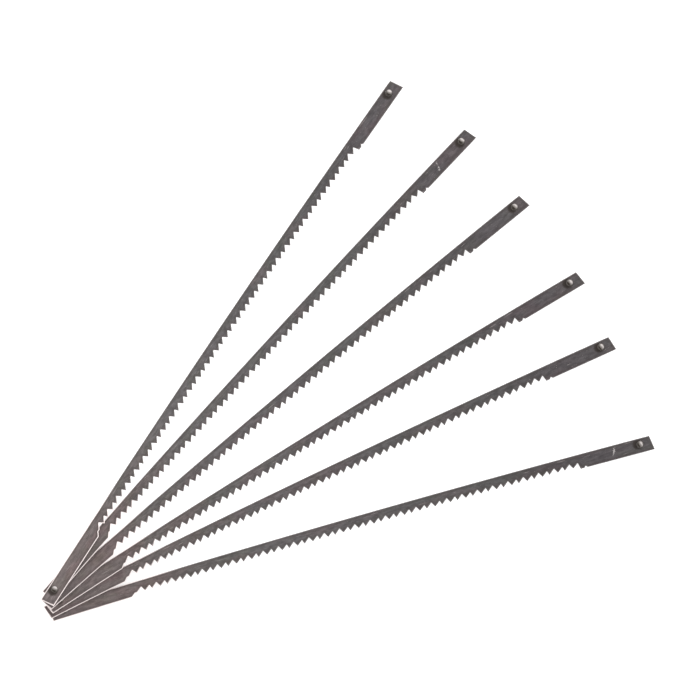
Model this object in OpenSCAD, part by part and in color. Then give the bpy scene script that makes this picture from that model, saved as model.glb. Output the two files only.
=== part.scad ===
// Six pin-end coping saw blades lying crossed in a fan on a flat surface.
// Each blade is a toothed steel strip with a cross pin pressed through it near each end.
// Origin: on the surface, under the middle of the fan. +Z up, +X along the fan's longest side.

/* [Blade] */
// Overall length of a blade
blade_length = 165; // [160:1:170]
// Thickness of the strip
thickness = 0.5; // [0.4:0.05:0.6]
// Width of the plain shank at each end
shank_w = 3.8; // [3.6:0.1:4.2]
// Width from the back edge to the tooth tips
tooth_w = 3.18; // [3:0.02:3.4]
// How far the back edge bows out at mid-length
camber = 0.9; // [0:0.1:1.2]
// How much further towards the toe the toothed side of each end reaches
end_shear = 0.5; // [0:0.1:0.8]

/* [Teeth] */
// Number of tooth pairs
pairs = 29; // [24:1:29]
// Length of one tooth pair
pair_pitch = 4.18; // [4:0.02:4.24]
// Width left at the wide gullet of a pair
wide_root_w = 1.9; // [1.7:0.05:2.1]
// Width left at the narrow gullet of a pair
narrow_root_w = 2.05; // [1.9:0.05:2.2]
// Flat left on each tooth tip
tip_flat = 0.12; // [0.05:0.01:0.2]

// Sideways bend of the teeth, in degrees: the first of each pair to one side, the second to the other
tooth_set = 5; // [0:1:8]

/* [Pins] */
// Diameter of a cross pin's free ends
pin_d = 1.5; // [1.3:0.05:1.55]
// Diameter of a cross pin's swelled middle, which fills the strip's hole
pin_seat_d = 1.86; // [1.82:0.02:2]
// How far the swelled middle stands out of each side of the strip
pin_seat_proud = 0.12; // [0.04:0.02:0.16]
// Length of a cross pin
pin_length = 4.6; // [4:0.1:5]
// Chamfer on each end of a pin
pin_chamfer = 0.15; // [0.05:0.05:0.25]
// Distance from the handle end of the strip to the handle pin
handle_inset = 4.3; // [4:0.1:5]
// Distance from the toe end of the strip to the toe pin
toe_inset = 2.9; // [2.6:0.1:3.6]
// Distance from the back edge to the pins
pin_to_back = 1.5; // [1.4:0.05:1.7]

/* [Pile] */
// Clear height between a pin's end and the strip that it rests over
rest_gap = 0.2; // [0.2:0.05:0.4]

/* [Hidden] */
$fn = 48;

blades = 6;
strip_color = [0.43, 0.40, 0.40];
pin_color = [0.52, 0.50, 0.49];

// The fan, from the bottom blade to the top one: the turn of each blade about +Z, and the step in
// plan from the handle pin of the blade below to its own. Neighbouring pins stand beside each other.
blade_turn = [16, 25.5, 31.8, 40.2, 47.6, 56.1];
pin_step = [[0, 0], [-1.05, 1.26], [0.12, 1.71], [-0.91, 1.36], [0.2, 2.79], [-0.64, -1.51]];

// Blade frame: x from the handle pin to the toe pin, y towards the back edge, z through the strip.
handle_x = -handle_inset;
toe_x = handle_x + blade_length - end_shear;
pin_span = toe_x - toe_inset;
back_points = 32;

// Toothed edge, measured from the handle pin
shoulder_x = 17.9;
shoulder_run = 1;
shoulder_flat = 0.6;
shoulder_w = 3;
first_root_x = 20.9;
front_run = 0.71;
narrow_root_at = 2.23;
steep_run = 0.37;
bend_overlap = 0.3;
// The last tooth is a block as wide as the shank, with a nick behind it
block_flat = 1;
nick_run = 0.45;
nick_depth = 0.5;

// Height of the bowed back edge at x
function back_y(x) =
    let (u = 2 * (x - handle_x) / (toe_x - handle_x) - 1)
    pin_to_back + camber * (1 - u * u);

// A point of the outline, given its distance from the back edge
function edge_point(x, width) = [x, back_y(x) - width];

// The edge that the two teeth of one pair stand on, from the pair's wide gullet
function pair_root_points(x) = [
    edge_point(x, wide_root_w),
    edge_point(x + narrow_root_at, narrow_root_w)
];

// The last pair has a block and a nick where its second tooth would be
function block_points(x) = let (block_x = x + narrow_root_at + steep_run) [
    edge_point(x, wide_root_w),
    edge_point(x + narrow_root_at, narrow_root_w),
    edge_point(block_x, shank_w),
    edge_point(block_x + block_flat, shank_w),
    edge_point(block_x + block_flat + nick_run, shank_w - nick_depth),
    edge_point(block_x + block_flat + 2 * nick_run, shank_w)
];

function handle_shank_points() = [
    edge_point(handle_x, 0),
    edge_point(handle_x + end_shear, shank_w),
    edge_point(shoulder_x, shank_w),
    edge_point(shoulder_x + shoulder_run, shoulder_w),
    edge_point(shoulder_x + shoulder_run + shoulder_flat, shoulder_w)
];

function back_edge_points() = [
    for (i = [0 : back_points - 1]) edge_point(toe_x - i * (toe_x - handle_x) / back_points, 0)
];

// The strip's outline without its set teeth
function outline() = concat(
    handle_shank_points(),
    [for (i = [0 : pairs - 2]) each pair_root_points(first_root_x + i * pair_pitch)],
    block_points(first_root_x + (pairs - 1) * pair_pitch),
    [edge_point(toe_x + end_shear, shank_w)],
    back_edge_points()
);

// The pile: every toe pin stands on the surface, and each handle pin stands over the blade below,
// so a blade's handle end is one level higher than that of the blade below, and the blade slopes.
level = (thickness + pin_length) / 2 + rest_gap;
foot_x = pin_span + pin_d / 2 - pin_chamfer;
foot_z = pin_length / 2;
function pin_height(k) = foot_z + k * level;
function slope(k) = asin(pin_height(k) / norm([foot_x, foot_z])) - atan2(foot_z, foot_x);
function plan_step(k) = k == 0 ? pin_step[0] : plan_step(k - 1) + pin_step[k];

// Where a point of blade k lies in plan, before the fan is centred
function in_plan(k, point) =
    let (
        along = point.x * cos(slope(k)) + point.z * sin(slope(k)),
        turn = blade_turn[k]
    )
    plan_step(k) + [along * cos(turn) - point.y * sin(turn), along * sin(turn) + point.y * cos(turn)];

// Plan positions of the corners of all the blades, which bound the fan
corners = [
    for (k = [0 : blades - 1])
        for (end = [[handle_x, 0], [handle_x + end_shear, shank_w], [toe_x, 0], [toe_x + end_shear, shank_w]])
            for (side = [-1, 1])
                let (edge = edge_point(end.x, end.y))
                in_plan(k, [edge.x, edge.y, side * thickness / 2])
];
corner_xs = [for (corner = corners) corner.x];
corner_ys = [for (corner = corners) corner.y];
fan_centre = [min(corner_xs) + max(corner_xs), min(corner_ys) + max(corner_ys)] / 2;

// Puts a blade's own frame in its place in the pile
module in_pile(k) {
    place = plan_step(k) - fan_centre;
    translate([place.x, place.y, pin_height(k)])
        rotate([0, slope(k), blade_turn[k]])
            children();
}

// One tooth, from one gullet to the next, bent about a line a little above its root
module tooth(x, root_w, front, next_root, next_root_w, bend) {
    translate([x, back_y(x + front) - root_w + bend_overlap, 0])
        rotate([bend, 0, 0])
            translate([0, -bend_overlap, -thickness / 2])
                linear_extrude(thickness)
                    polygon([
                        [0, bend_overlap],
                        [0, 0],
                        [front, root_w - tooth_w],
                        [front + tip_flat, root_w - tooth_w],
                        [next_root, root_w - next_root_w],
                        [next_root, bend_overlap]
                    ]);
}

// All the set teeth of one strip, up to the block
module teeth() {
    second_length = pair_pitch - narrow_root_at;
    for (i = [0 : pairs - 1]) {
        x = first_root_x + i * pair_pitch;
        tooth(x, wide_root_w, front_run, narrow_root_at, narrow_root_w, tooth_set);
        if (i < pairs - 1)
            tooth(x + narrow_root_at, narrow_root_w, steep_run, second_length, wide_root_w, -tooth_set);
    }
}

// The toothed strip of blade k, with its two pin holes
module strip(k) {
    color(strip_color)
        in_pile(k)
            difference() {
                union() {
                    translate([0, 0, -thickness / 2])
                        linear_extrude(thickness)
                            polygon(outline());
                    teeth();
                }
                pin_hole(0);
                pin_hole(pin_span);
            }
}

// The hole that a pin is pressed into
module pin_hole(x) {
    translate([x, 0, -thickness])
        cylinder(h = 2 * thickness, d = pin_seat_d);
}

// A cross pin: round wire with chamfered ends, swelled where it passes through the strip
module pin(k, x) {
    half = pin_length / 2;
    r = pin_d / 2;
    seat_r = pin_seat_d / 2;
    seat_half = thickness / 2 + pin_seat_proud;
    color(pin_color)
        in_pile(k)
            translate([x, 0, 0])
                rotate_extrude()
                    polygon([
                        [0, -half],
                        [r - pin_chamfer, -half],
                        [r, pin_chamfer - half],
                        [r, -seat_half],
                        [seat_r, -seat_half],
                        [seat_r, seat_half],
                        [r, seat_half],
                        [r, half - pin_chamfer],
                        [r - pin_chamfer, half],
                        [0, half]
                    ]);
}

strip(0);  // blade_1_strip
pin(0, 0);  // blade_1_handle_pin
pin(0, pin_span);  // blade_1_toe_pin
strip(1);  // blade_2_strip
pin(1, 0);  // blade_2_handle_pin
pin(1, pin_span);  // blade_2_toe_pin
strip(2);  // blade_3_strip
pin(2, 0);  // blade_3_handle_pin
pin(2, pin_span);  // blade_3_toe_pin
strip(3);  // blade_4_strip
pin(3, 0);  // blade_4_handle_pin
pin(3, pin_span);  // blade_4_toe_pin
strip(4);  // blade_5_strip
pin(4, 0);  // blade_5_handle_pin
pin(4, pin_span);  // blade_5_toe_pin
strip(5);  // blade_6_strip
pin(5, 0);  // blade_6_handle_pin
pin(5, pin_span);  // blade_6_toe_pin
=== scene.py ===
"""Six pin-end coping saw blades crossed in a fan on a pale floor.

Each CAD strip and cross pin is replaced by a detailed piece in the same place. The pieces are made in
the blade frame, in millimetres: x runs from the handle pin towards the toe pin, y towards the back edge
and z through the strip. "Depth" is the distance from the back edge towards the teeth.
"""
import math
import random

import bmesh
import bpy
import numpy as np
from mathutils import Matrix, Vector


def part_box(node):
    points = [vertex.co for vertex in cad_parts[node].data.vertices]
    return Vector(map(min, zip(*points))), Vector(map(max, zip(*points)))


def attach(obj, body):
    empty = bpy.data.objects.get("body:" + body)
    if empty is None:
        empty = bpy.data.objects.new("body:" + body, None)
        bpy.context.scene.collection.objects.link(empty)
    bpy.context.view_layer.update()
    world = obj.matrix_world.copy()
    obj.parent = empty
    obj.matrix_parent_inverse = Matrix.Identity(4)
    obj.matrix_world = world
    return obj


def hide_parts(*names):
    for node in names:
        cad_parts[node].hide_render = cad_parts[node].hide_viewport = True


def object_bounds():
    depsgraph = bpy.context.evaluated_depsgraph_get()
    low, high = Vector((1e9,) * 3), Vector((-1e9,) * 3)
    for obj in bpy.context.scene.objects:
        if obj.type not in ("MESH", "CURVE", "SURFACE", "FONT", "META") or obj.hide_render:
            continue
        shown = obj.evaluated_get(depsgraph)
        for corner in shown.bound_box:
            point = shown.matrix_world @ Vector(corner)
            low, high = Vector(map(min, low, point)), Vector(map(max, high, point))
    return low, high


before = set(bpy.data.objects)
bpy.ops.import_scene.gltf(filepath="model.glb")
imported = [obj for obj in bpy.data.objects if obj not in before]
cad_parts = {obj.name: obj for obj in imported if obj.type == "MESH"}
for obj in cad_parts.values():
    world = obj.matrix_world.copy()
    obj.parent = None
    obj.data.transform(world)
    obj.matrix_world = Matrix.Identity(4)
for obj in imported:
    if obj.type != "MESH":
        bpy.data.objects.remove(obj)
cad_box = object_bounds()

MM = 0.001
BLADES = 6
SEED = 41

# ------------------------------------------------------------------ sizes, in millimetres

# The strip
BLADE_LENGTH = 165
THICKNESS = 0.5
SHANK_W = 3.8
CAMBER = 0.9
BACK_Y = 1.5
END_SHEAR = 0.5
SHEAR_FADE = 3
HANDLE_X = -4.3
TOE_X = HANDLE_X + BLADE_LENGTH - END_SHEAR
TOE_INSET = 2.9
PIN_SPAN = TOE_X - TOE_INSET

# The teeth, in pairs: a long gullet, a tooth, a short gullet and another tooth
TOOTH_W = 3.18
PAIRS = 29
PAIR_PITCH = 4.18
FIRST_ROOT_X = 20.9
WIDE_ROOT_W = 1.9
FRONT_RUN = 0.71
NARROW_ROOT_W = 2.05
NARROW_ROOT_AT = 2.23
STEEP_RUN = 0.37
TIP_FLAT = 0.12

# The teeth are bent sideways beyond this depth, and the bend fades out towards each gullet
TOOTH_SET = math.radians(5)
SET_DEPTH = 1.6
SET_FADE = 0.3

# The shoulder before the first tooth, and the block and nick after the last one
SHOULDER_X = 17.9
SHOULDER_RUN = 1
SHOULDER_FLAT = 0.6
SHOULDER_W = 3
BLOCK_FLAT = 1
NICK_RUN = 0.45
NICK_DEPTH = 0.5

# The punched outline is a little round in its corners, and the edges of both faces are worn round
GULLET_R = 0.13
TIP_R = 0.05
CORNER_R = 0.3
EDGE_R = 0.045

# How finely the strip's mesh follows its shape
ARC_STEPS = 4
LONGEST_ARC_SHARE = 0.48
EDGE_STEPS = 3
SMALLEST_R = 0.1 * EDGE_R
LONGEST_STEP = 1.2
END_STATIONS = (0, 0.2, 0.5)
FACE_ROWS = (5 * EDGE_R, SET_DEPTH / 2, SET_DEPTH)
EDGE_ROW = 4 * EDGE_R
EDGE_ROW_SHARE = 0.4

# The cross pins
PIN_R = 0.75
PIN_HALF = 2.3
PIN_CHAMFER = 0.15
PIN_DOME = 0.03
PIN_END_DROP = 0.02
PIN_LEAN = 0.02
PIN_BODY_ROWS = (1.6, 1.0)
SEAT_R = 0.93
SEAT_TOP = 0.37
SEAT_FILLET = 0.06
SEAT_ROUND = 0.03
SEAT_ROW = 0.1
HOLE_R = 0.94
PIN_SIDES = 48


# ------------------------------------------------------------------ the toothed strip

def back_y(x):
    """Height of the bowed back edge at x."""
    u = 2 * (x - HANDLE_X) / (TOE_X - HANDLE_X) - 1
    return BACK_Y + CAMBER * (1 - u * u)


def pair_points(x, last):
    """The corners of one pair of teeth from its wide gullet: (x, depth, rounding radius)."""
    second = x + NARROW_ROOT_AT + STEEP_RUN
    points = [
        (x, WIDE_ROOT_W, GULLET_R),
        (x + FRONT_RUN, TOOTH_W, TIP_R),
        (x + FRONT_RUN + TIP_FLAT, TOOTH_W, TIP_R),
        (x + NARROW_ROOT_AT, NARROW_ROOT_W, GULLET_R),
    ]
    if not last:
        return points + [(second, TOOTH_W, TIP_R), (second + TIP_FLAT, TOOTH_W, TIP_R)]
    nick = second + BLOCK_FLAT
    return points + [
        (second, SHANK_W, TIP_R),
        (nick, SHANK_W, CORNER_R),
        (nick + NICK_RUN, SHANK_W - NICK_DEPTH, GULLET_R),
        (nick + 2 * NICK_RUN, SHANK_W, CORNER_R),
    ]


def edge_corners():
    """The corners of the toothed edge from the handle end to the toe end."""
    shoulder = SHOULDER_X + SHOULDER_RUN
    corners = [(HANDLE_X + into, SHANK_W, 0) for into in END_STATIONS]
    corners += [
        (SHOULDER_X, SHANK_W, CORNER_R),
        (shoulder, SHOULDER_W, CORNER_R),
        (shoulder + SHOULDER_FLAT, SHOULDER_W, CORNER_R),
    ]
    for i in range(PAIRS):
        corners += pair_points(FIRST_ROOT_X + i * PAIR_PITCH, i == PAIRS - 1)
    return corners + [(TOE_X - into, SHANK_W, 0) for into in END_STATIONS[::-1]]


def unit(v):
    return v / np.linalg.norm(v)


def arc_points(before, p, after, radius):
    """Points on the arc that rounds off the corner p between its two neighbours."""
    to_a = before - p
    to_b = after - p
    longest_reach = LONGEST_ARC_SHARE * min(np.linalg.norm(to_a), np.linalg.norm(to_b))
    a, b = unit(to_a), unit(to_b)
    half = math.acos(np.clip(a @ b, -1, 1)) / 2
    reach = min(radius / math.tan(half), longest_reach)
    centre = p + unit(a + b) * reach / math.cos(half)
    start = p + a * reach - centre
    end = p + b * reach - centre
    sweep = math.atan2(start[0] * end[1] - start[1] * end[0], start @ end)
    points = []
    for i in range(ARC_STEPS + 1):
        c, s = math.cos(sweep * i / ARC_STEPS), math.sin(sweep * i / ARC_STEPS)
        points.append(centre + np.array([c * start[0] - s * start[1], s * start[0] + c * start[1]]))
    return points


def round_corners(corners):
    """The same line with an arc in each corner that has a radius."""
    places = [np.array(corner[:2]) for corner in corners]
    line = [places[0]]
    for i in range(1, len(corners) - 1):
        radius = corners[i][2]
        line += arc_points(*places[i - 1:i + 2], radius) if radius else [places[i]]
    return line + [places[-1]]


def toothed_edge():
    """Points along the toothed edge as (x, depth), none further apart than the longest step."""
    line = round_corners(edge_corners())
    points = [line[0]]
    for a, b in zip(line, line[1:]):
        n = max(1, math.ceil((b[0] - a[0]) / LONGEST_STEP))
        points += [a + (b - a) * i / n for i in range(1, n + 1)]
    return np.array(points)


def set_angle(x):
    """Sideways bend at x: the first tooth of a pair is set down, the second one up."""
    pair, at = divmod(x - FIRST_ROOT_X, PAIR_PITCH)
    first = at < NARROW_ROOT_AT
    if pair < 0 or pair >= PAIRS or (pair == PAIRS - 1 and not first):
        return 0
    start, end = (0, NARROW_ROOT_AT) if first else (NARROW_ROOT_AT, PAIR_PITCH)
    share = np.clip(min(at - start, end - at) / SET_FADE, 0, 1)
    share = share * share * (3 - 2 * share)
    return share * (TOOTH_SET if first else -TOOTH_SET)


def in_blade_frame(x, depth, z):
    """Sets the teeth, slants the ends and bows the strip."""
    past = depth - SET_DEPTH
    angle = set_angle(x)
    if past > 0 and angle:
        depth = SET_DEPTH + past * math.cos(angle) + z * math.sin(angle)
        z = z * math.cos(angle) - past * math.sin(angle)
    y = back_y(x) - depth
    near_end = max(0, 1 - min(x - HANDLE_X, TOE_X - x) / SHEAR_FADE)
    return (x + END_SHEAR * depth / SHANK_W * near_end, y, z)


def before_setting(points):
    """The points with their heights as they were before the teeth were set."""
    flat = points.copy()
    for i, (x, y, z) in enumerate(points):
        past = back_y(x) - y - SET_DEPTH
        angle = set_angle(x)
        if past > 0 and angle:
            flat[i, 2] = z * math.cos(angle) + past * math.sin(angle)
    return flat


def section(x, depth, inwards, inset=0):
    """One closed ring round the strip at x: round the back edge, over one face, round the toothed edge
    and back over the other face. Inwards is the direction from the toothed edge into the steel."""
    half = THICKNESS / 2 - inset
    r = max(EDGE_R - inset, SMALLEST_R)
    turns = [math.pi / 2 * i / EDGE_STEPS for i in range(EDGE_STEPS + 1)]
    edge = [(inset + r * (1 - math.sin(t)), half - r * (1 - math.cos(t))) for t in turns][::-1]
    flat_x = x + inwards[0] * (inset + r)
    flat_depth = depth + inwards[1] * (inset + r)
    edge_row = min(EDGE_ROW, EDGE_ROW_SHARE * (flat_depth - SET_DEPTH))
    upper = [(x, into, z) for into, z in edge]
    upper += [(x, row, half) for row in FACE_ROWS]
    upper.append((flat_x, flat_depth - edge_row, half))
    upper += [(x + inwards[0] * into, depth + inwards[1] * into, z) for into, z in edge[::-1]]
    return upper + [(px, pd, -pz) for px, pd, pz in upper[::-1]]


def end_sections(x, direction):
    """The rings that round off one end, from the end face inwards."""
    turns = [math.pi / 2 * i / EDGE_STEPS for i in range(EDGE_STEPS)]
    return [
        section(x + direction * EDGE_R * (1 - math.cos(t)), SHANK_W, (0, -1), EDGE_R * (1 - math.sin(t)))
        for t in turns
    ]


def strip_rings(edge):
    """All the rings of the strip from the handle end to the toe end."""
    steps = np.diff(edge, axis=0)
    steps /= np.linalg.norm(steps, axis=1)[:, None]
    tangents = np.vstack([steps[:1], steps[:-1] + steps[1:], steps[-1:]])
    rings = end_sections(HANDLE_X, 1)
    for (x, depth), tangent in zip(edge, tangents):
        x = np.clip(x, HANDLE_X + EDGE_R, TOE_X - EDGE_R)
        inwards = unit(np.array([tangent[1], -tangent[0]]))
        rings.append(section(x, depth, inwards))
    return rings + end_sections(TOE_X, -1)[::-1]


def mesh_from(bm, name):
    """A mesh of what the bmesh holds, with its normals outwards. The bmesh is freed."""
    bmesh.ops.recalc_face_normals(bm, faces=bm.faces)
    mesh = bpy.data.meshes.new(name)
    bm.to_mesh(mesh)
    bm.free()
    return mesh


def uncut_strip(edge):
    """The strip without its pin holes."""
    bm = bmesh.new()
    rows = [[bm.verts.new(in_blade_frame(*point)) for point in ring] for ring in strip_rings(edge)]
    count = len(rows[0])
    for a, b in zip(rows, rows[1:]):
        for j in range(count):
            k = (j + 1) % count
            bm.faces.new((a[j], b[j], b[k], a[k]))
    for ring in (rows[0][::-1], rows[-1]):
        for j in range(count // 2 - 1):
            bm.faces.new((ring[j], ring[j + 1], ring[-2 - j], ring[-1 - j]))
    return mesh_from(bm, "uncut")


def hole_drill():
    """Two cylinders that stand where the pins go through."""
    bm = bmesh.new()
    for x in (0, PIN_SPAN):
        bmesh.ops.create_cone(bm, cap_ends=True, segments=PIN_SIDES, radius1=HOLE_R, radius2=HOLE_R,
                              depth=4 * THICKNESS, matrix=Matrix.Translation((x, 0, 0)))
    return mesh_from(bm, "drill")


def cut_holes(mesh):
    """The mesh with the two pin holes cut through it."""
    strip = bpy.data.objects.new("uncut", mesh)
    drill = bpy.data.objects.new("drill", hole_drill())
    for obj in (strip, drill):
        bpy.context.scene.collection.objects.link(obj)
    cut = strip.modifiers.new("holes", "BOOLEAN")
    cut.operation = "DIFFERENCE"
    cut.solver = "EXACT"
    cut.object = drill
    graph = bpy.context.evaluated_depsgraph_get()
    result = bpy.data.meshes.new_from_object(strip.evaluated_get(graph))
    for obj in (strip, drill):
        bpy.data.objects.remove(obj)
    return result


def outline_distance(points, outline):
    """The distance in plan from each point to the closed outline."""
    runs = np.roll(outline, -1, axis=0) - outline
    lengths = (runs ** 2).sum(axis=1)
    nearest = np.empty(len(points))
    for i, point in enumerate(points):
        along = np.clip(((point - outline) * runs).sum(axis=1) / lengths, 0, 1)
        nearest[i] = np.sqrt(((outline + runs * along[:, None] - point) ** 2).sum(axis=1).min())
    return nearest


def store(mesh, name, kind, values):
    """Keeps one value per vertex for the materials."""
    field = "vector" if kind == "FLOAT_VECTOR" else "value"
    data = mesh.attributes.new(name, kind, "POINT").data
    data.foreach_set(field, np.asarray(values, np.float32).ravel())


def vertex_array(mesh):
    flat = np.empty(3 * len(mesh.vertices), np.float32)
    mesh.vertices.foreach_get("co", flat)
    return flat.reshape(-1, 3)


def make_strip_mesh():
    """The toothed strip in the blade frame, with the values that its material reads."""
    edge = toothed_edge()
    mesh = cut_holes(uncut_strip(edge))
    points = vertex_array(mesh)
    toothed = [in_blade_frame(x, depth, 0)[:2] for x, depth in edge]
    back = [in_blade_frame(x, 0, 0)[:2] for x, _ in edge[::-1]]
    store(mesh, "blade_mm", "FLOAT_VECTOR", before_setting(points))
    store(mesh, "rim_mm", "FLOAT", outline_distance(points[:, :2], np.array(toothed + back)))
    return mesh


# ------------------------------------------------------------------ the cross pins

def pin_profile():
    """Half of a pin's section from the middle of one end to the middle of the other: (radius, z)."""
    half = [(0, PIN_HALF), (PIN_R / 3, PIN_HALF - 0.15 * PIN_DOME), (0.6 * PIN_R, PIN_HALF - 0.5 * PIN_DOME)]
    for i in range(ARC_STEPS + 1):
        t = math.pi / 2 * i / ARC_STEPS
        r = PIN_R - PIN_CHAMFER * (1 - math.sin(t))
        half.append((r, PIN_HALF - PIN_DOME - PIN_CHAMFER * (1 - math.cos(t))))
    half += [(PIN_R, z) for z in (*PIN_BODY_ROWS, SEAT_TOP + SEAT_FILLET)]
    half += [
        (PIN_R + 0.3 * SEAT_FILLET, SEAT_TOP + 0.3 * SEAT_FILLET),
        (PIN_R + SEAT_FILLET, SEAT_TOP),
        (SEAT_R - SEAT_ROUND, SEAT_TOP),
        (SEAT_R, SEAT_TOP - SEAT_ROUND),
        (SEAT_R, SEAT_ROW),
    ]
    return half + [(r, -z) for r, z in half[::-1]]


def pin_ring(bm, r, z, lean):
    """One ring of a pin. Near its ends the ring slopes and drops a little, as a cut end does."""
    if r == 0:
        return [bm.verts.new((0, 0, z))]
    side = 1 if z > 0 else -1
    ring = []
    for i in range(PIN_SIDES):
        t = 2 * math.pi * i / PIN_SIDES
        x, y = r * math.cos(t), r * math.sin(t)
        drop = min(0, lean * x - PIN_END_DROP * r / PIN_R) if abs(z) > PIN_HALF - 0.2 else 0
        ring.append(bm.verts.new((x, y, z + side * drop)))
    return ring


def make_pin_mesh(x, rng):
    """A cross pin at x, cut from wire."""
    bm = bmesh.new()
    lean = rng.uniform(-PIN_LEAN, PIN_LEAN)
    rings = [pin_ring(bm, r, z, lean) for r, z in pin_profile()]
    for a, b in zip(rings, rings[1:]):
        for i in range(PIN_SIDES):
            j = (i + 1) % PIN_SIDES
            if len(a) == 1:
                bm.faces.new((a[0], b[i], b[j]))
            elif len(b) == 1:
                bm.faces.new((a[i], b[0], a[j]))
            else:
                bm.faces.new((a[i], b[i], b[j], a[j]))
    mesh = mesh_from(bm, "cross_pin")
    store(mesh, "pin_mm", "FLOAT_VECTOR", vertex_array(mesh))
    mesh.transform(Matrix.Translation((x, 0, 0)))
    return mesh


# ------------------------------------------------------------------ materials

def linear(*srgb):
    """A colour given as 0 to 255 sRGB, as the linear values that shaders take."""
    return tuple(((c / 255 + 0.055) / 1.055) ** 2.4 for c in srgb) + (1,)


class Look:
    """Short calls that build one material's nodes."""

    def __init__(self, name):
        self.material = bpy.data.materials.new(name)
        self.material.use_nodes = True
        self.tree = self.material.node_tree
        self.tree.nodes.clear()

    def node(self, kind, settings=None, **inputs):
        node = self.tree.nodes.new("ShaderNode" + kind)
        for key, value in (settings or {}).items():
            setattr(node, key, value)
        for key, value in inputs.items():
            self.put(node.inputs[key.replace("_", " ")], value)
        return node

    def put(self, socket, value):
        if isinstance(value, bpy.types.NodeSocket):
            self.tree.links.new(value, socket)
        else:
            socket.default_value = value

    def attribute(self, name, output):
        return self.node("Attribute", {"attribute_name": name}).outputs[output]

    def axes(self, vector):
        return self.node("SeparateXYZ", Vector=vector).outputs

    def math(self, operation, a, b=0.0, c=0.0):
        node = self.node("Math", {"operation": operation})
        for socket, value in zip(node.inputs, (a, b, c)):
            self.put(socket, value)
        return node.outputs[0]

    def centred(self, noise):
        """A noise value moved to vary about zero."""
        return self.math("SUBTRACT", noise, 0.5)

    def mapped(self, vector, scale, offset=(0, 0, 0), turn=0):
        return self.node("Mapping", Vector=vector, Scale=scale, Location=offset,
                         Rotation=(0, 0, turn)).outputs[0]

    def noise(self, vector, detail=3, roughness=0.5):
        return self.node("TexNoise", Vector=vector, Scale=1, Detail=detail, Roughness=roughness).outputs[0]

    def fade(self, value, start, end, low=0.0, high=1.0):
        """Goes smoothly from low to high as value goes from start to end."""
        node = self.node("MapRange", {"interpolation_type": "SMOOTHSTEP"}, Value=value)
        for key, number in (("From Min", start), ("From Max", end), ("To Min", low), ("To Max", high)):
            node.inputs[key].default_value = number
        return node.outputs[0]

    def mix(self, factor, a, b, blend="MIX"):
        node = self.node("Mix", {"data_type": "RGBA", "blend_type": blend, "clamp_factor": True})
        for socket, value in zip((node.inputs[0], node.inputs[6], node.inputs[7]), (factor, a, b)):
            self.put(socket, value)
        return node.outputs[2]

    def tint(self, factor, color, by):
        """The colour multiplied by another one, as far as factor says."""
        return self.mix(factor, color, by, "MULTIPLY")

    def vary(self, color, noise, low, high):
        """The colour made darker and lighter by a noise."""
        value = self.fade(noise, 0.3, 0.7, low, high)
        grey = self.node("CombineColor", Red=value, Green=value, Blue=value).outputs[0]
        return self.tint(1.0, color, grey)

    def ramp(self, value, stops):
        node = self.node("ValToRGB", Fac=value)
        node.color_ramp.interpolation = "EASE"
        elements = node.color_ramp.elements
        while len(elements) < len(stops):
            elements.new(0.5)
        for element, (position, color) in zip(elements, stops):
            element.position = position
            element.color = color
        return node.outputs[0]

    def finish(self, color, roughness, height, bump_mm, metallic):
        bump = self.node("Bump", Height=height, Distance=bump_mm * MM, Strength=1.0).outputs[0]
        shader = self.node("BsdfPrincipled", Roughness=roughness, Metallic=metallic, Normal=bump)
        self.put(shader.inputs["Base Color"], color)
        output = self.node("OutputMaterial")
        self.tree.links.new(shader.outputs[0], output.inputs["Surface"])
        return self.material


# Tone of the steel from the handle end to the toe end, with a painted reflection in it: lighter at the
# handle end and darker towards the toe
STEEL_TONES_AND_PAINTED_REFLECTION = [
    (0.0, linear(111, 102, 102)),
    (0.09, linear(107, 98, 97)),
    (0.15, linear(103, 95, 94)),
    (0.24, linear(97, 93, 92)),
    (0.38, linear(95, 92, 93)),
    (0.52, linear(89, 86, 87)),
    (0.68, linear(85, 84, 84)),
    (0.82, linear(78, 76, 77)),
    (0.91, linear(78, 74, 76)),
    (1.0, linear(80, 77, 78)),
]
# The punched edge from the lower face to the upper one
WALL_TONES = [
    (0.0, linear(84, 77, 74)),
    (0.42, linear(70, 64, 61)),
    (0.55, linear(128, 121, 118)),
    (1.0, linear(150, 143, 140)),
]
# A pin's cut end from the handle side to the toe side, with painted shade on the handle side and a painted
# highlight towards the toe
PIN_END_PAINTED_LIGHT_TONES = [
    (0.10, linear(58, 52, 47)),
    (0.26, linear(52, 47, 43)),
    (0.44, linear(118, 113, 109)),
    (0.74, linear(176, 170, 168)),
    (1.0, linear(104, 99, 96)),
]
WARM_STAIN = (1.10, 0.95, 0.97, 1)
GREEN_STAIN = (0.93, 0.97, 0.90, 1)
PIT = linear(64, 58, 56)
PALE_SPECK = linear(170, 162, 158)
SCRATCH = linear(186, 178, 175)
PALE_MARK = linear(182, 177, 175)
# Painted shadow that each pin casts on the strip
PAINTED_PIN_SHADOW = linear(44, 38, 33)
INSIDE_RIM = linear(62, 56, 54)
# Painted highlight: the glint along the strip's edges
PAINTED_EDGE_GLINT = linear(240, 228, 226)
WIRE = linear(142, 136, 132)
SEAT = linear(66, 61, 58)

NOISE_RANGE = 400
# Where the painted glint on the edges stops: it fades out between these distances from the handle pin
EDGE_GLINT_FADE_X = (22, 34)
# The middle of the painted shadow beside a pin, from the pin's own middle
PIN_SHADOW_SHIFT = (-0.6, 0.1)
# A pale mark across the strip: blade, distance from the handle pin, lean from straight across
PALE_MARKS = {5: (148.3, 0.45), 1: (150.1, 0.43)}


def stained(look, color, place, offset):
    """Patches of warm and green stain, longer than they are wide."""
    warm = look.noise(look.mapped(place, (0.09, 0.22, 0.2), offset), detail=2)
    color = look.tint(look.fade(warm, 0.46, 0.62, 0, 0.55), color, WARM_STAIN)
    green = look.noise(look.mapped(place, (0.16, 0.34, 0.3), offset[::-1]), detail=2)
    return look.tint(look.fade(green, 0.52, 0.66, 0, 0.7), color, GREEN_STAIN)


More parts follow.
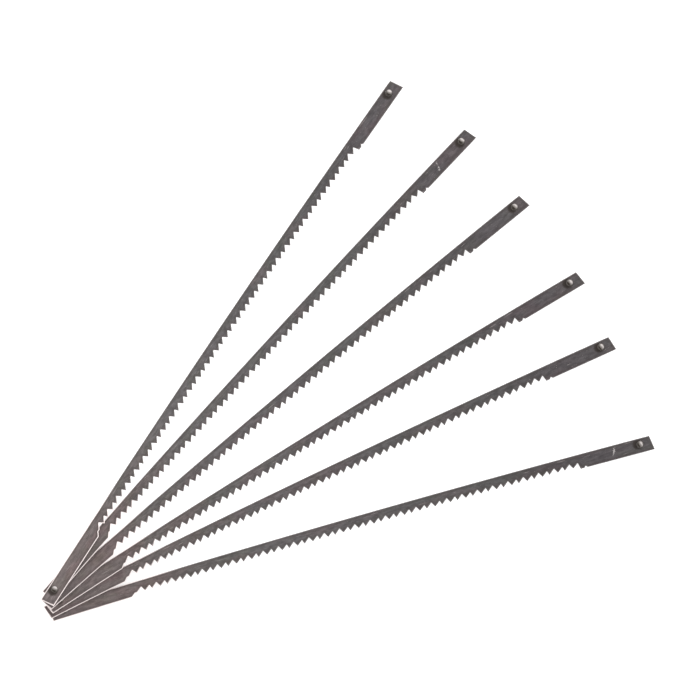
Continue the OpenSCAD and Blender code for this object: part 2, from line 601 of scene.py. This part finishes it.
def long_scratches(look, place, offset):
    """Where faint scratches run, in two directions."""
    marks = 0.0
    for turn, strength in ((0.35, 0.5), (-0.9, 0.7)):
        streak = look.noise(look.mapped(place, (0.22, 5.5, 5.5), offset, turn), detail=1)
        marks = look.math("MAXIMUM", marks, look.fade(streak, 0.74, 0.80, 0, strength))
    return marks


def with_pale_mark(look, color, place, offset, specks, at, lean):
    """A short broken mark that wanders across the strip."""
    x, y, _ = look.axes(place)
    line = look.math("MULTIPLY_ADD", y, -lean, look.math("SUBTRACT", x, at))
    wander = look.math("MULTIPLY_ADD", specks, 1.6, -0.8)
    distance = look.math("ABSOLUTE", look.math("ADD", line, wander))
    inside = look.math("MULTIPLY", look.fade(y, -1.2, -0.8), look.fade(y, 1.4, 0.9))
    breaks = look.noise(look.mapped(place, (1.5, 1.5, 1.5), offset), detail=2)
    broken = look.fade(breaks, 0.42, 0.56, 0.1, 0.85)
    mark = look.math("MULTIPLY", look.fade(distance, 0.26, 0.06), inside)
    return look.mix(look.math("MULTIPLY", mark, broken), color, PALE_MARK)


def with_painted_pin_shadows(look, color, place, cloud):
    """Painted shadows of the pins: dark patches on the strip beside each pin, towards the handle side."""
    in_plan = look.mapped(place, (1, 1, 0))
    for pin_x in (0, PIN_SPAN):
        away = look.node("VectorMath", {"operation": "DISTANCE"})
        look.put(away.inputs[0], in_plan)
        away.inputs[1].default_value = (pin_x + PIN_SHADOW_SHIFT[0], PIN_SHADOW_SHIFT[1], 0)
        ring = look.math("MULTIPLY_ADD", cloud, 0.6, away.outputs["Value"])
        color = look.mix(look.fade(ring, 1.95, 1.25, 0, 0.8), color, PAINTED_PIN_SHADOW)
    return color


def punched_wall(look, place, z, offset):
    """Colour and height of the punched edge: smooth and bright where the punch went in, torn and dull
    below."""
    marks = look.noise(look.mapped(place, (9, 9, 0.6), offset), detail=3, roughness=0.7)
    height_in = look.math("MULTIPLY_ADD", look.centred(marks), 0.25, z)
    color = look.ramp(look.math("MULTIPLY_ADD", height_in, 1 / THICKNESS, 0.5), WALL_TONES)
    return look.vary(color, marks, 0.75, 1.2), marks


def strip_material(k, rng):
    look = Look(f"strip_steel_{k}")
    place = look.attribute("blade_mm", "Vector")
    rim = look.attribute("rim_mm", "Fac")
    x, _, z = look.axes(place)
    offset = tuple(rng.uniform(0, NOISE_RANGE) for _ in range(3))
    cloud = look.noise(look.mapped(place, (0.5, 1.2, 1), offset), detail=4, roughness=0.6)
    lines = look.noise(look.mapped(place, (0.35, 9, 9), offset), detail=5, roughness=0.65)
    specks = look.noise(look.mapped(place, (2.2, 2.6, 2.6), offset[::-1]), detail=3, roughness=0.7)
    pits = look.fade(specks, 0.62, 0.74)
    marks = long_scratches(look, place, offset)

    # The steel: its tone with the painted reflection that darkens towards the toe, stains, clouds, rolling
    # lines, fine grain, pits and scratches
    along = look.math("MULTIPLY_ADD", x, 1 / BLADE_LENGTH, -HANDLE_X / BLADE_LENGTH)
    color = stained(look, look.ramp(along, STEEL_TONES_AND_PAINTED_REFLECTION), place, offset)
    color = look.vary(color, cloud, 0.79, 1.19)
    color = look.vary(color, lines, 0.82, 1.16)
    color = look.vary(color, specks, 0.9, 1.1)
    color = look.mix(pits, color, PIT)
    color = look.mix(look.fade(specks, 0.36, 0.27, 0, 0.5), color, PALE_SPECK)
    color = look.mix(marks, color, SCRATCH)
    if k in PALE_MARKS:
        color = with_pale_mark(look, color, place, offset, specks, *PALE_MARKS[k])
    # Painted shadows of the pins on the strip
    color = with_painted_pin_shadows(look, color, place, cloud)

    # It is darker just inside the edge, and a painted highlight, a glint, runs along the edge itself
    rim_distance_noisy = look.math("MULTIPLY_ADD", look.centred(cloud), 0.12, rim)
    color = look.mix(look.fade(rim_distance_noisy, 0.9, 0.3, 0, 0.35), color, INSIDE_RIM)
    bright = look.math("MULTIPLY", look.fade(rim_distance_noisy, 0.25, 0.13), look.fade(x, *EDGE_GLINT_FADE_X, 1, 0.1))
    color = look.mix(bright, color, PAINTED_EDGE_GLINT)

    wall = look.fade(look.math("ABSOLUTE", z), THICKNESS / 2 - 0.02, THICKNESS / 2 - 0.05)
    wall_color, wall_marks = punched_wall(look, place, z, offset)
    color = look.mix(wall, color, wall_color)

    roughness = look.math("MULTIPLY_ADD", lines, 0.22, 0.34)
    roughness = look.math("MULTIPLY_ADD", bright, -0.12, roughness)
    height = look.math("MULTIPLY_ADD", lines, 0.6, look.math("MULTIPLY", pits, -0.8))
    height = look.math("SUBTRACT", height, look.math("MULTIPLY", marks, 0.6))
    height = look.math("MULTIPLY_ADD", look.math("MULTIPLY", wall, wall_marks), 2, height)
    return look.finish(color, roughness, height, bump_mm=0.006, metallic=0.85)


def pin_material(k, rng):
    look = Look(f"pin_steel_{k}")
    place = look.attribute("pin_mm", "Vector")
    offset = tuple(rng.uniform(0, NOISE_RANGE) for _ in range(3))
    x, _, z = look.axes(look.mapped(place, (1, 1, 1), turn=math.radians(-11)))
    cloud = look.noise(look.mapped(place, (2.2, 2.2, 2.2), offset), detail=4, roughness=0.6)
    drawn = look.noise(look.mapped(place, (14, 14, 0.8), offset), detail=4, roughness=0.6)
    height_in = look.math("ABSOLUTE", z)

    # The wire's side carries drawing lines, and its swelled middle is darker
    color = look.vary(WIRE, drawn, 0.7, 1.2)
    color = look.mix(look.fade(height_in, SEAT_TOP + 0.08, SEAT_TOP + 0.02, 0, 0.75), color, SEAT)

    # Its cut end carries painted shade on the handle side and a painted highlight towards the toe
    across = look.math("MULTIPLY_ADD", look.centred(cloud), 0.7, x)
    face = look.ramp(look.math("MULTIPLY_ADD", across, 0.6, 0.5), PIN_END_PAINTED_LIGHT_TONES)
    color = look.mix(look.fade(height_in, PIN_HALF - 0.24, PIN_HALF - 0.15), color, face)

    roughness = look.math("MULTIPLY_ADD", drawn, 0.25, 0.28)
    return look.finish(color, roughness, look.math("ADD", drawn, cloud), bump_mm=0.008, metallic=0.9)


# ------------------------------------------------------------------ pieces

def middle(node):
    low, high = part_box(node)
    return (low + high) / 2


def blade_matrix(k):
    """The place of blade k's own frame, with its millimetres turned to metres."""
    handle = middle(f"blade_{k}_handle_pin")
    along = (middle(f"blade_{k}_toe_pin") - handle).normalized()
    across = Vector((0, 0, 1)).cross(along).normalized()
    axes = Matrix((along, across, along.cross(across))).transposed().to_4x4()
    return Matrix.Translation(handle) @ axes @ Matrix.Scale(MM, 4)


def add_piece(name, mesh, matrix, material, body, node, sharp_degrees):
    """Puts a mesh in its place as one piece that stands for a CAD node."""
    mesh.transform(matrix)
    mesh.name = name
    mesh.materials.clear()
    mesh.materials.append(material)
    mesh.shade_smooth()
    mesh.set_sharp_from_angle(angle=math.radians(sharp_degrees))
    piece = bpy.data.objects.new(name, mesh)
    bpy.context.scene.collection.objects.link(piece)
    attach(piece, body)
    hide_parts(node)


def add_blade(k, strip_mesh, rng):
    """Blade k: its strip, and a pin near each end."""
    matrix = blade_matrix(k)
    body = f"blade_{k}"
    add_piece(f"{body}_toothed_strip", strip_mesh.copy(), matrix, strip_material(k, rng),
              body, f"{body}_strip", 40)
    steel = pin_material(k, rng)
    for end, x in (("handle", 0), ("toe", PIN_SPAN)):
        add_piece(f"{body}_{end}_cross_pin", make_pin_mesh(x, rng), matrix, steel,
                  body, f"{body}_{end}_pin", 50)


# ------------------------------------------------------------------ camera, light and floor

# In metres
PICTURE_WIDTH = 0.1842
CAMERA_HEIGHT = 2.4
CAMERA_SHIFT = (0.45 * MM, 0.3 * MM)
SENSOR_WIDTH_MM = 36
FLOOR_RADIUS = 5
FLOOR_GAP = 0.01 * MM


def add_camera(low, high):
    """Straight above the fan, with the fan almost filling the square picture."""
    camera = bpy.data.cameras.new("camera")
    camera.sensor_width = SENSOR_WIDTH_MM
    camera.lens = SENSOR_WIDTH_MM * CAMERA_HEIGHT / PICTURE_WIDTH
    camera.clip_end = 20
    obj = bpy.data.objects.new("camera", camera)
    centre = (low + high) / 2
    obj.location = (centre.x + CAMERA_SHIFT[0], centre.y + CAMERA_SHIFT[1], CAMERA_HEIGHT)
    bpy.context.scene.collection.objects.link(obj)
    bpy.context.scene.camera = obj


def add_area_light(name, location, size, watts):
    """A round soft light that faces the fan."""
    light = bpy.data.lights.new(name, "AREA")
    light.shape = "DISK"
    light.size = size
    light.energy = watts
    obj = bpy.data.objects.new(name, light)
    obj.location = location
    obj.rotation_euler = (-Vector(location)).to_track_quat("-Z", "Y").to_euler()
    bpy.context.scene.collection.objects.link(obj)


def floor_material():
    """Matt white, with a little light of its own so that it shows as white as the world does."""
    material = bpy.data.materials.new("floor")
    material.use_nodes = True
    shader = material.node_tree.nodes["Principled BSDF"]
    shader.inputs["Base Color"].default_value = (0.9, 0.9, 0.9, 1)
    shader.inputs["Emission Color"].default_value = (1, 1, 1, 1)
    shader.inputs["Emission Strength"].default_value = 0.5
    shader.inputs["Roughness"].default_value = 0.9
    shader.inputs["Specular IOR Level"].default_value = 0.1
    return material


def add_floor():
    bm = bmesh.new()
    bmesh.ops.create_circle(bm, cap_ends=True, segments=96, radius=FLOOR_RADIUS)
    mesh = bpy.data.meshes.new("floor")
    bm.to_mesh(mesh)
    bm.free()
    mesh.transform(Matrix.Translation((0, 0, -FLOOR_GAP)))
    mesh.materials.append(floor_material())
    floor = bpy.data.objects.new("floor", mesh)
    bpy.context.scene.collection.objects.link(floor)


def set_world(strength):
    world = bpy.data.worlds.new("studio")
    world.use_nodes = True
    background = world.node_tree.nodes["Background"]
    background.inputs["Color"].default_value = (1, 1, 1, 1)
    background.inputs["Strength"].default_value = strength
    bpy.context.scene.world = world
    bpy.context.scene.view_settings.view_transform = "Standard"


# ------------------------------------------------------------------ the whole scene

add_camera(*cad_box)
add_area_light("key", (0.5, 0.7, 1.5), size=1.4, watts=9)
add_area_light("fill", (-0.9, -0.4, 1.1), size=1.2, watts=4)
set_world(0.92)
add_floor()

rng = random.Random(SEED)
strip_mesh = make_strip_mesh()
for k in range(1, BLADES + 1):
    add_blade(k, strip_mesh, rng)
bpy.data.meshes.remove(strip_mesh)
